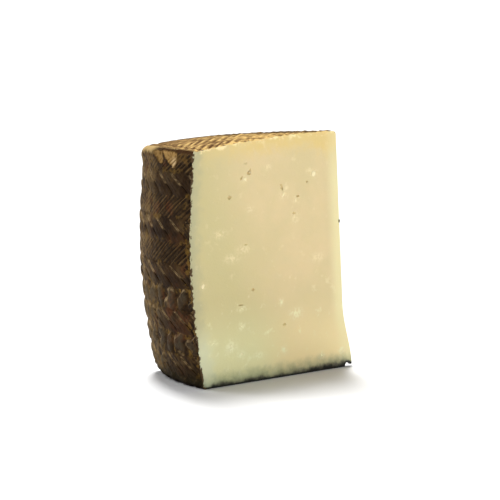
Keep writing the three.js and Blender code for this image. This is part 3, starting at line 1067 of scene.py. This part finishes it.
class Surface(Graph):
    """A material under way: its nodes, its shader and its colour so far."""

    def __init__(self, name):
        self.material = bpy.data.materials.new(name)
        self.material.use_nodes = True
        super().__init__(self.material.node_tree)
        self.shader = self.tree.nodes["Principled BSDF"]
        self.tint = None

    @cached_property
    def place(self):
        return self.add("ShaderNodeTexCoord", "Object")

    def attributes(self, *names):
        return [self.add("ShaderNodeAttribute", "Fac", attribute_name=name) for name in names]

    def patches(self, per_metre, low, high):
        inputs = {"Place": self.place, "Patches per metre": per_metre, "Low": low, "High": high}
        return self.group("patches", patches_group, inputs)["Mask"]

    def grain(self, coarse, fine):
        inputs = {"Place": self.place, "Coarse": coarse, "Fine": fine}
        return self.group("grain", grain_group, inputs)["Height"]

    def plait_marks(self, stagger=0):
        """What the print does at a point, by the piece's own UV map."""
        uv = self.add("ShaderNodeUVMap", "UV", uv_map="plait")
        inputs = {"Plait": uv, "Fibres": plait_sizes().fibres, "Stagger": stagger}
        return self.group("plait marks", plait_group, inputs)

    def paint(self, tint, mask=None):
        """Lays a colour over the others where the mask is, or everywhere."""
        self.tint = tint if mask is None else self.mix(mask, self.tint, tint)

    def finish(self, height, depth, roughness):
        """Feeds the shader the colour, the roughness, and a bump of the given depth."""
        self.feed(self.shader.inputs["Base Color"], self.tint)
        self.feed(self.shader.inputs["Roughness"], roughness)
        bump = {"Height": height, "Distance": depth, "Strength": BUMP_STRENGTH}
        self.feed(self.shader.inputs["Normal"], self.add("ShaderNodeBump", "Normal", bump))
        return self.material

    def shine(self, specular):
        self.shader.inputs["Specular IOR Level"].default_value = specular

    def milky(self, weight, depth):
        """Lets light a little way into the paste."""
        self.shader.inputs["Subsurface Weight"].default_value = weight
        self.shader.inputs["Subsurface Radius"].default_value = MILKY_RADII
        self.shader.inputs["Subsurface Scale"].default_value = depth


WARM_LEAN = 0.35  # how much further out the warm middle reaches for each millimetre of height


def paste_material():
    colours = bpy.context.scene.cheese_paste
    paste = Surface("cheese_paste")
    side, top, foot, tip, near, far, pale = paste.attributes(
        "from_side", "from_top", "from_foot", "from_tip", "from_near", "from_far", "pale"
    )
    soft = paste.patches(240, 0.25, 0.75) * 4 - 2
    fringe = paste.patches(430, 0.3, 0.7) * 1.4 - 0.7
    on_near = near.step(3, 0.5)

    # the paste: warmer in the middle, greener above the foot and painted lighter there, mostly on the near
    # cut, as painted light that makes up for the shade near the foot; drier under the rind and pale at the
    # tip
    paste.paint(colours.body)
    warm = (foot * WARM_LEAN + side).step(36, 74) * foot.step(4, 16)
    paste.paint(colours.heart, warm * (paste.patches(45, 0.35, 0.65) * 0.4 + 0.6))
    # painted light: lighter, greener paste near the foot, mostly on the near cut
    low = paste.mix(side.step(30, 62), colours.low, colours.low_heart_and_light)
    paste.paint(low, foot.step(40, 8) * (on_near * 0.75 + 0.25))
    under_top = (tip.step(20, 5) * -5 + (soft + top)).step(11, 1)
    paste.paint(colours.top, under_top * (side.step(8, 40) * 0.6 + 0.4))
    near_rind = (soft * 0.8 + side).step(10, 1)
    paste.paint(colours.near_rind, near_rind * (foot.step(8, 45) * 0.6 + 0.4))
    corner = (soft * 0.8 + side).step(13, 4) * foot.step(32, 14)
    paste.paint(colours.low_rind, corner * 0.6)
    tip_rim = tip.step(9, 1.5) * (top.step(1, 24) * 0.6 + 0.4)
    paste.paint(colours.tip, tip_rim * (on_near * 0.5 + 0.5))
    paste.paint(colours.chip, paste.patches(260, 0.45, 0.6) * (fringe + top).step(2.8, 0.8))
    flecks = paste.patches(190, 0.6, 0.74) * (foot.step(60, 10) * 0.45 + 0.2)
    spots = pale * (paste.patches(760, 0.4, 0.62) * 0.6 + 0.1) * (foot.step(45, 20) * 0.5 + 0.9)
    paste.paint(paste.mix(foot.step(50, 25), colours.fleck, colours.low_fleck), flecks | spots)

    # the foot, moulded but for the tip's own edge
    by_tip = tip.step(45, 8) * tip.step(2.2, 4.5)
    reach = by_tip * -0.8 + (soft * 0.5 + foot) + corner
    paste.paint(colours.foot_shade, reach.step(8.5, -0.5) * 0.85)
    paste.paint(colours.mould, reach.step(3.6, 0) * 0.75)
    paste.paint(colours.mould, paste.patches(380, 0.46, 0.56) * by_tip * foot.step(4.4, 1.8) * 0.8)
    teeth = paste.patches(140, 0.3, 0.7) * 1.3 - 0.6
    line = by_tip * -0.7 + (fringe * 0.5 + teeth + foot)
    paste.paint(colours.foot_line, line.step(2.5, 0) | foot.step(1.2, 0.5))

    # the painted shade inside the eyes' hollows, and the skin's ragged edge
    paste.paint(colours.eye, (fringe * 0.12 + (near & far)).step(0.2, 0.5) * 0.75)
    paste.paint(colours.skin, (paste.patches(560, 0.35, 0.65) * 1.5 + side).step(2.5, 1.7))

    grain = paste.grain(900, 3200)
    paste.milky(0.25, 1.5 * MM)
    paste.shine(0.2)
    return paste.finish(grain, 0.12 * MM, grain * 0.12 + 0.46)


def side_material():
    colours = bpy.context.scene.cheese_rind
    rind = Surface("cheese_side_rind")
    marks = rind.plait_marks()
    crest, share, rising, streak = (marks[name] for name in ("Crest", "Share", "Rising", "Streak"))
    foot, top, near, round_wheel = rind.attributes("from_foot", "from_top", "from_near", "round_wheel")
    pad, pad_edge, padded, torn, lip = rind.attributes("pad", "pad_edge", "padded", "torn", "lip")
    plaited = 1 - padded
    falling = 1 - rising
    # left: how far round to the left a place lies; towards it the rind is painted lighter, with more worn
    # and crest colour and less dark, as painted light and sheen
    left = round_wheel.step(4, -12)
    fine = rind.patches(520, 0.4, 0.62)
    middling = rind.patches(300, 0.42, 0.58)

    # dressed rind, worn olive and stained in patches; painted light and sheen make it lighter towards the
    # left, and painted shade darkens the troughs between fibres and the lower half of each falling row
    rind.paint(colours.dark)
    rind.paint(colours.brown, marks["Ribbon chance"] * 0.6 | rind.patches(160, 0.45, 0.7))
    rind.paint(colours.russet, rind.patches(95, 0.54, 0.66) * 0.7)
    rind.paint(colours.worn, rind.patches(75, 0.38, 0.58) * (left * 0.85 + 0.15) * (middling * 0.5 + 0.5))
    rind.paint(colours.crest, (fine | middling) * (left * 0.4 + 0.05))
    scuffs = round_wheel.step(-9, -14) * foot.step(10, 22) * foot.step(75, 55)
    rind.paint(colours.edge, scuffs * middling * streak.step(0.4, 0.6))
    rind.paint(colours.worn, foot.step(24, 10) * (middling | fine) * (left * 0.35 + 0.2))
    # painted shade in the troughs between fibres: in patches, then all along, more in the rising rows
    rind.paint(colours.pit_and_shade, rind.patches(340, 0.52, 0.62) * crest.step(0.75, 0.35) * 0.7)
    troughs = crest.step(0.45, 0.1) * (rising * 0.65 + 0.1) * plaited
    rind.paint(colours.pit_and_shade, troughs * (left * -0.6 + 1))
    # painted shade over the lower half of each falling row
    rind.paint(colours.dark, falling * plaited * share.step(0.65, 0.35) * (left * -0.5 + 1) * 0.5)

    # thin light crests, painted as highlights: each fibre's in the rising rows, each ribbon's edge in the
    # upper half of the falling rows
    broken = rind.patches(420, 0.4, 0.6) * 0.7 + 0.3
    fibres = rising * plaited * crest.step(0.55, 0.95) * broken
    rind.paint(colours.crest, fibres * marks["Fibre chance"].step(0.1, 0.8) * (left * -0.4 + 1) * 0.5)
    upper_half = share.step(0.4, 0.55) * share.step(1, 0.93)
    ribbons = falling * plaited * upper_half * (left * 0.12 + marks["Ribbon edge"]).step(0.8, 0.96)

    # rounded pads low down, grey in the middle, pale at their edges with a painted highlight at the upper
    # left, with painted shade between them and ochre there in patches
    rind.paint(colours.bloom, padded * pad.step(1.1, 0.5) * (middling * 0.5 + 0.5) * 0.8)
    # painted shade in the gaps between the pads
    gaps = padded * pad.step(1.0, 1.3)
    rind.paint(colours.pit_and_shade, gaps * 0.6)
    rind.paint(colours.ochre, gaps * rind.patches(105, 0.47, 0.56) * middling)
    # pale edges with painted highlights, wider towards the left
    pad_edges_and_highlights = padded * (left * 0.3 + pad_edge).step(0.2, 0.9)
    pad_edges_and_highlights = pad_edges_and_highlights * (rind.patches(260, 0.42, 0.58) * 0.65 + 0.35)
    rind.paint(colours.edge, (ribbons | pad_edges_and_highlights * 0.9) * broken)

    # dark nicks and ochre flecks where the knife broke the rind along the near cut
    by_cut = near.step(6.5, 2)
    rind.paint(colours.pit_and_shade, by_cut * rind.patches(330, 0.46, 0.56) * crest.step(0.95, 0.5) * 0.85)
    rind.paint(colours.ochre, by_cut * rind.patches(270, 0.55, 0.62) * foot.step(95, 70) * 0.7)

    # bare cheese showing in the creases between rows, dark streaks, and the moulded foot
    crease = marks["Row line"].step(0.6, 0.95) * rind.patches(130, 0.52, 0.62) * plaited
    rind.paint(colours.ochre, crease * (middling * 0.4 + 0.2))
    rind.paint(colours.pit_and_shade, streak.step(0.5, 0.34) * (left * -0.15 + 0.25))
    rind.paint(colours.foot, (streak * 7 + foot).step(12, 5))
    rind.paint(colours.pit_and_shade, (streak * 3 + foot).step(4, 2))

    # the rim: stained on the left, bare at its edge, torn under it, and dark in the lip by the near cut
    rind.paint(colours.torn_dark, top.step(9, 4) * round_wheel.step(1, -5) * fine * 0.6)
    rind.paint(colours.torn_dark, round_wheel.step(9, 12) * top.step(7.5, 5.5) * middling * 0.6)
    corner = (middling * 0.8 + top).step(4, 1.8) * round_wheel.step(0, -5)
    ridge = (middling * 0.3 + top).step(1.1, 0.7) * (fine * 0.5 + 0.4)
    rind.paint(colours.rim, corner | ridge)
    ragged = rind.patches(500, 0.3, 0.7) * 0.7 + (torn * 1.25 - 0.6)
    # painted shadow of the lip: the torn cheese is darker close under the top
    lit = rind.patches(360, 0.32, 0.52) * (top.step(0.8, 2.5) * 0.7 + 0.3)
    bare = rind.mix(lit, colours.torn_dark, colours.torn)
    fresh = round_wheel.step(7, 9) * top.step(3, 6) * top.step(12, 8) * (middling * 0.4 + 0.6)
    bare = rind.mix(fresh, bare, colours.torn_pale)
    cuts = crest.step(0.6, 0.3) * top.step(3.5, 5.5) | round_wheel.step(4, 2) * 0.5
    bare = rind.mix(cuts * 0.8, bare, colours.torn_dark)
    rind.paint(colours.torn_dark, torn.step(0.02, 0.3) * ragged.step(-0.4, 0.2) * 0.7)
    rind.paint(bare, ragged.step(0.05, 0.85))
    rind.paint(colours.lip, lip.step(0.1, 0.8) * top.step(0.2, 0.7))

    height = rind.patches(260, 0.3, 0.7) * 1.2 + (streak * (left * -0.3 + 0.4) + rind.grain(480, 2000))
    rind.shine(0.05)
    return rind.finish(height, 0.3 * MM, streak * -0.25 + 0.8)


def top_material():
    colours = bpy.context.scene.cheese_rind
    rind = Surface("cheese_top_rind")
    marks = rind.plait_marks(STAGGER)
    crest, streak = marks["Crest"], marks["Streak"]
    side, tip, near, far, rings = rind.attributes("from_side", "from_tip", "from_near", "from_far", "rings")
    crumbs = rind.patches(240, 0.35, 0.65)
    thin = (crumbs * 16 + tip).step(82, 44)
    front = near.step(32, 18)
    printed = side.step(2, 5) * marks["Row line"].step(0.98, 0.6)

    # tan rind, lighter towards the tip, with painted highlights on the strands of the print, stained in
    # patches
    rind.paint(colours.gold)
    rind.paint(colours.bronze, side.step(50, 15))
    rind.paint(colours.lip, (crumbs * 4 + side).step(8, 3) * far.step(12, 26) * 0.7)
    rind.paint(colours.gold_light, marks["Ribbon chance"] * 0.35)
    rind.paint(colours.pale, thin * 0.65)
    # painted highlights on the print's strands, stronger towards the near cut
    strand_highlights = crest.step(0.5, 0.85) * rind.patches(300, 0.35, 0.5) * printed
    rind.paint(colours.pale, strand_highlights * (front * 0.75 + 0.15))
    rind.paint(colours.gold_dark, rind.patches(190, 0.46, 0.6) * 0.6)
    rind.paint(colours.pale, side.step(1.6, 0.8) * far.step(26, 32) * crumbs * 0.9)

    # bare crumbs along the near cut
    rind.paint(colours.pale, (crumbs * 3.4 + near).step(4.6, 2.6))

    # painted shade in the strokes between the fibres and in the ring grooves, dark nicks at the near cut, a
    # painted highlight on the rope between the grooves, and dark marks along the far edge
    # painted shade in the grooves between the top's fibres
    stroke_shade = crest.step(0.48, 0.18) * rind.patches(210, 0.38, 0.46) * printed
    stroke_shade = stroke_shade * (front * 0.75 + 0.25) * (thin * -0.8 + 1)
    # painted shade in the ring grooves
    grooves = rings.step(0.35, 0.8) * (crumbs * 0.6 + 0.4)
    nicks = rind.patches(420, 0.52, 0.6) * near.step(9, 2)
    rind.paint(colours.gold_dark, (stroke_shade | grooves | nicks * 0.8) * 0.85)
    # painted highlight on the rope between the ring grooves
    rope_highlight = rings.step(0.3, 0.1) * side.step(12, 10) * rind.patches(400, 0.44, 0.52) * far.step(12, 26)
    rind.paint(colours.pale, rope_highlight * 0.45)
    far_edge = (crumbs * -2.5 + far).step(thin * 2 + 2, thin + 0.2)
    spots = far.step(14, 4) * rind.patches(330, 0.4, 0.47) * thin * tip.step(3, 7)
    rind.paint(colours.brown, (spots | far_edge) * 0.9)

    rind.shine(0.04)
    return rind.finish(streak * 0.6 + rind.grain(800, 2800), 0.2 * MM, streak * -0.2 + 0.75)


def grainy_material(name, under, over, levels, grains, depth, roughness):
    """Plain rind: one colour, and another on the grains that stand out."""
    rind = Surface(name)
    grain = rind.grain(*grains)
    rind.paint(under)
    rind.paint(over, grain.step(*levels))
    return rind.finish(grain, depth, grain * 0.2 + roughness)


def foot_material():
    rind = bpy.context.scene.cheese_rind
    grains = (400, 1800)
    return grainy_material("cheese_foot_rind", rind.foot, rind.dark, (0.5, 1.0), grains, 0.3 * MM, 0.55)


def crumb_material():
    rind = bpy.context.scene.cheese_rind
    grains = (1500, 4000)
    return grainy_material("cheese_rind_crumb", rind.crumb, rind.worn, (0.4, 1.2), grains, 0.1 * MM, 0.5)


def crystal_material():
    colours = bpy.context.scene.cheese_paste
    crystal = Surface("cheese_crystals")
    height = crystal.split(crystal.place)[2]
    grain = crystal.grain(1500, 5000)
    crystal.paint(colours.fleck)
    crystal.paint(colours.low_fleck, height.step(50 * MM, 25 * MM))
    crystal.paint(colours.chip, grain.step(0.9, 0.5) * 0.5)
    crystal.milky(0.3, 1 * MM)
    return crystal.finish(grain, 0.1 * MM, grain * 0.1 + 0.45)


# Operators

SHARP_EDGE = math.radians(48)
FEWEST_FACES = 1000  # a wedge with fewer has lost its side, its top or a cut

# Pale grains on the near cut: distance from the axis, height and half size, in millimetres
NEAR_CRYSTALS = (
    (18.4, 91.4, 1.3), (37.6, 83.0, 1.2), (60.8, 91.5, 0.9), (29.7, 79.9, 0.7), (86.1, 45.9, 1.1),
    (38.7, 34.5, 0.8), (63.1, 25.9, 0.6), (62.9, 13.4, 0.7), (69.0, 17.6, 0.6), (80.2, 20.0, 0.5),
    (36.7, 12.6, 0.6), (12.7, 7.2, 0.5),
)
FAR_CRYSTALS = 18
FAR_GRAIN_PLACES = (0.08, 0.92)  # as shares of the wheel's radius
FAR_GRAIN_HEIGHTS = (0.08, 0.9)  # as shares of its height
FAR_GRAIN_HALVES = (0.4 * MM, 0.9 * MM)
GRAIN_FLATNESS = 0.22  # how thick a grain is, beside its width
GRAIN_TALL = (0.4, 0.8)  # how high a grain is, beside its width
GRAIN_LEAN = 3  # the most that a grain is turned on its cut, in radians
GRAIN_LUMP = 1.0 * MM
GRAIN_LUMP_DEPTH = 0.5 * MM

CRUMB_HEIGHT = 68.5 * MM
CRUMB_HALF = (0.45 * MM, 0.45 * MM, 0.6 * MM)
CRUMB_SUNK = 0.35 * MM  # how far the crumb's middle lies under the tip's edge

# A long narrow light over and behind the cheese, as a row of suns: how many degrees up each one stands
STRIP_ELEVATIONS = (59, 65, 71, 77)
STRIP_STRENGTH = 4.3
FILL_STRENGTH = 0.28  # of the plain white light from all round
FLOOR_SIZE = 60
FLOOR_ROUGHNESS = 0.9
FLOOR_SHINE = 0.1
SENSOR_WIDTH = 36  # in millimetres
FURTHEST_SEEN = 100


class CHEESE_OT_wedge(bpy.types.Operator):
    """Cut the wedge out of its wheel, with its eyes, and give it its rind and paste"""

    bl_idname = "cheese.wedge"
    bl_label = "Cut Wedge"

    def execute(self, context):
        foot_rind = foot_material()
        paste = paste_material()
        piece = made_of(side_block(), side_material())
        top = made_of(top_block(), top_material(), foot_rind)
        foot = max(top.data.polygons, key=lambda face: face.area)
        foot.material_index = 1
        cut_with(piece, top, "INTERSECT")
        cut_with(piece, made_of(knife_block(), paste), "INTERSECT")
        cut_with(piece, made_of(eyes(), paste), "DIFFERENCE")
        for sizes in BREAKS:
            cut_with(piece, made_of(tip_break(*sizes), foot_rind), "DIFFERENCE")
        if len(piece.data.polygons) < FEWEST_FACES:
            raise RuntimeError("the cuts left nothing of the wheel")
        piece.name = "cheese"
        write_zones(piece)
        only(piece)
        bpy.ops.object.shade_smooth_by_angle(angle=SHARP_EDGE)
        hand_over(piece, [NODE])
        return {"FINISHED"}


class CHEESE_OT_crystals(bpy.types.Operator):
    """Set the pale grains of the aged paste into both cuts"""

    bl_idname = "cheese.crystals"
    bl_label = "Set Grains"

    def execute(self, context):
        wheel = context.scene.cheese_wheel
        places = [
            (near_way() * away * MM + upwards(height * MM), half * MM, near_way())
            for away, height, half in NEAR_CRYSTALS
        ]
        for index in range(FAR_CRYSTALS):
            away = wheel.belly_radius * blend(chance(index, 21), *FAR_GRAIN_PLACES)
            height = wheel.height * blend(chance(index, 22), *FAR_GRAIN_HEIGHTS)
            half = blend(chance(index, 23), *FAR_GRAIN_HALVES)
            places.append((far_cut_place(away, height), half, far_way()))
        grains = []
        for index, (place, half, way) in enumerate(places):
            scale = (1, GRAIN_FLATNESS, blend(chance(index, 24), *GRAIN_TALL))
            grains.append(ball(place, scale, turned(way, GRAIN_LEAN * chance(index, 25)), half))
        piece = join(grains, "grains")
        texture = bpy.data.textures.new("grain_lumps", "CLOUDS")
        texture.noise_scale = GRAIN_LUMP
        modifier = piece.modifiers.new("lumps", "DISPLACE")
        modifier.texture = texture
        modifier.strength = GRAIN_LUMP_DEPTH
        only(piece)
        bpy.ops.object.modifier_apply(modifier=modifier.name)
        bpy.ops.object.shade_smooth()
        hand_over(made_of(piece, crystal_material()))
        return {"FINISHED"}


class CHEESE_OT_crumb(bpy.types.Operator):
    """Stick a crumb of the rind on the tip's edge"""

    bl_idname = "cheese.crumb"
    bl_label = "Stick Crumb"

    def execute(self, context):
        reach = tip_reach(np.array(CRUMB_HEIGHT))
        middle = near_way() * (CRUMB_SUNK - reach) + upwards(CRUMB_HEIGHT)
        piece = ball(middle, CRUMB_HALF)
        piece.name = "rind_crumb"
        roughen(piece, middle, 42)
        bpy.ops.object.shade_smooth()
        hand_over(made_of(piece, crumb_material()))
        return {"FINISHED"}


def way_to(azimuth, elevation):
    """From the cheese to a place round it and up, counted as the camera's place is."""
    level = math.cos(elevation)
    return Vector((math.sin(azimuth) * level, -math.cos(azimuth) * level, math.sin(elevation)))


def facing_back(way):
    """The turn of a camera or a light that stands out along a way, and looks back."""
    return way.to_track_quat("Z", "Y").to_euler()


class CHEESE_OT_stage(bpy.types.Operator):
    """Set the camera, the floor and the soft studio light"""

    bl_idname = "cheese.stage"
    bl_label = "Set Stage"

    def execute(self, context):
        scene = context.scene
        stage = scene.cheese_stage
        back = way_to(stage.azimuth, stage.elevation)
        bpy.ops.object.camera_add(location=Vector(stage.target) + back * stage.distance)
        camera = context.object
        camera.rotation_euler = facing_back(back)
        camera.data.lens = stage.lens
        camera.data.sensor_width = SENSOR_WIDTH
        camera.data.clip_end = FURTHEST_SEEN
        scene.camera = camera

        bpy.ops.mesh.primitive_plane_add(size=FLOOR_SIZE)
        floor = context.object
        floor.name = "floor"
        plain = Surface("floor")
        plain.shader.inputs["Base Color"].default_value = stage.floor
        plain.shader.inputs["Roughness"].default_value = FLOOR_ROUGHNESS
        plain.shine(FLOOR_SHINE)
        made_of(floor, plain.material)

        world = bpy.data.worlds.new("studio")
        world.use_nodes = True
        background = world.node_tree.nodes["Background"]
        background.inputs["Color"].default_value = (1, 1, 1, 1)
        background.inputs["Strength"].default_value = FILL_STRENGTH
        scene.world = world
        scene.view_settings.view_transform = "Standard"

        strength = STRIP_STRENGTH / len(STRIP_ELEVATIONS)
        for index, elevation in enumerate(STRIP_ELEVATIONS):
            self.sun(f"strip_light_{index}", 194, elevation, strength, breadth=12)
        self.sun("front_light", 38, elevation=9, strength=1.4, breadth=50)
        self.sun("left_light", -110, elevation=40, strength=1.2, breadth=30)
        return {"FINISHED"}

    def sun(self, name, from_camera, elevation, strength, breadth):
        """A broad light, its place round from the camera, its height and its breadth given in degrees."""
        azimuth = bpy.context.scene.cheese_stage.azimuth + math.radians(from_camera)
        way = way_to(azimuth, math.radians(elevation))
        bpy.ops.object.light_add(type="SUN", location=way)
        light = bpy.context.object
        light.name = name
        light.rotation_euler = facing_back(way)
        light.data.energy = strength
        light.data.angle = math.radians(breadth)


class CHEESE_PT_panel(bpy.types.Panel):
    """The sidebar panel with the pieces and their sizes and colours"""

    bl_idname = "CHEESE_PT_panel"
    bl_label = "Cheese Wedge"
    bl_space_type = "VIEW_3D"
    bl_region_type = "UI"
    bl_category = "Cheese"

    def draw(self, context):
        for operator in OPERATORS:
            self.layout.operator(operator.bl_idname)
        for name in GROUPS:
            box = self.layout.box()
            settings = getattr(context.scene, name)
            for prop in settings.__annotations__:
                box.prop(settings, prop)


GROUPS = {
    "cheese_wheel": WheelSizes,
    "cheese_cuts": CutSizes,
    "cheese_plait": PlaitSizes,
    "cheese_paste": PasteColours,
    "cheese_rind": RindColours,
    "cheese_stage": StageSettings,
}
OPERATORS = (CHEESE_OT_stage, CHEESE_OT_wedge, CHEESE_OT_crystals, CHEESE_OT_crumb)


def register():
    for name, group in GROUPS.items():
        bpy.utils.register_class(group)
        setattr(bpy.types.Scene, name, PointerProperty(type=group))
    for operator in OPERATORS:
        bpy.utils.register_class(operator)
    bpy.utils.register_class(CHEESE_PT_panel)


def unregister():
    bpy.utils.unregister_class(CHEESE_PT_panel)
    for operator in reversed(OPERATORS):
        bpy.utils.unregister_class(operator)
    for name, group in GROUPS.items():
        delattr(bpy.types.Scene, name)
        bpy.utils.unregister_class(group)


def main():
    register()
    bpy.ops.cheese.stage()
    bpy.ops.cheese.wedge()
    bpy.ops.cheese.crystals()
    bpy.ops.cheese.crumb()


if __name__ == "__main__":
    main()
